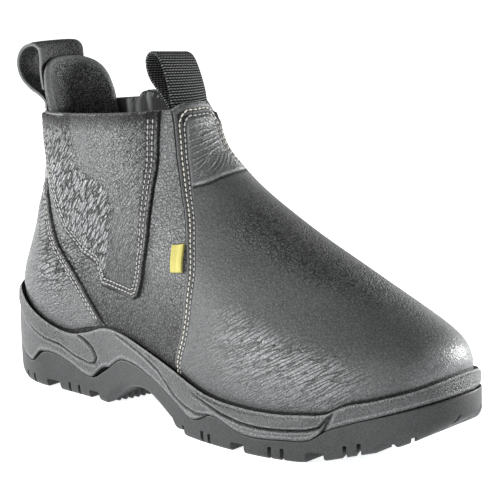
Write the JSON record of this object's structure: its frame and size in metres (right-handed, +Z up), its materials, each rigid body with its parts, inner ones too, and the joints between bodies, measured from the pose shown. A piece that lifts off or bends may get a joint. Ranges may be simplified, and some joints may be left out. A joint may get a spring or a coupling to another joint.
{
  "type": "steel toe boot",
  "caption": "Right slip-on ankle work boot: hollow leather upper with side gore covers, heel tab and pull loops on a cup midsole and lugged outsole with heel, arch and toe spring.",
  "frame": {"origin": "middle of the sole's footprint, on the floor", "axes": "+X from heel to toe, +Y to the inner side of the foot, +Z up"},
  "size_m": [0.308, 0.1118, 0.193],
  "materials": {
    "outsole_compound": "satin moulded black rubber",
    "midsole_foam": "fine-textured matte black foam rubber",
    "footbed_cloth": "dark cloth footbed",
    "black_leather": "pebbled black full-grain leather with a soft gloss",
    "strap_leather": "matte black strap leather",
    "black_suede": "black suede with a short nap",
    "black_elastic": "gathered black elastic",
    "black_webbing": "cross-ribbed black webbing",
    "yellow_cloth": "plain yellow woven tag"
  },
  "bodies": {
    "root": {"outsole": "outsole_compound", "midsole": "midsole_foam", "insole": "footbed_cloth", "upper": "black_leather", "heel_counter": "black_leather", "gore_cover_lateral": "black_leather", "gore_cover_medial": "black_leather", "elastic_gore_lateral": "black_elastic", "elastic_gore_medial": "black_elastic", "heel_tab": "black_suede", "heel_pull_loop": "strap_leather", "front_pull_loop": "black_webbing", "side_tag": "yellow_cloth"}
  },
  "joints": []
}
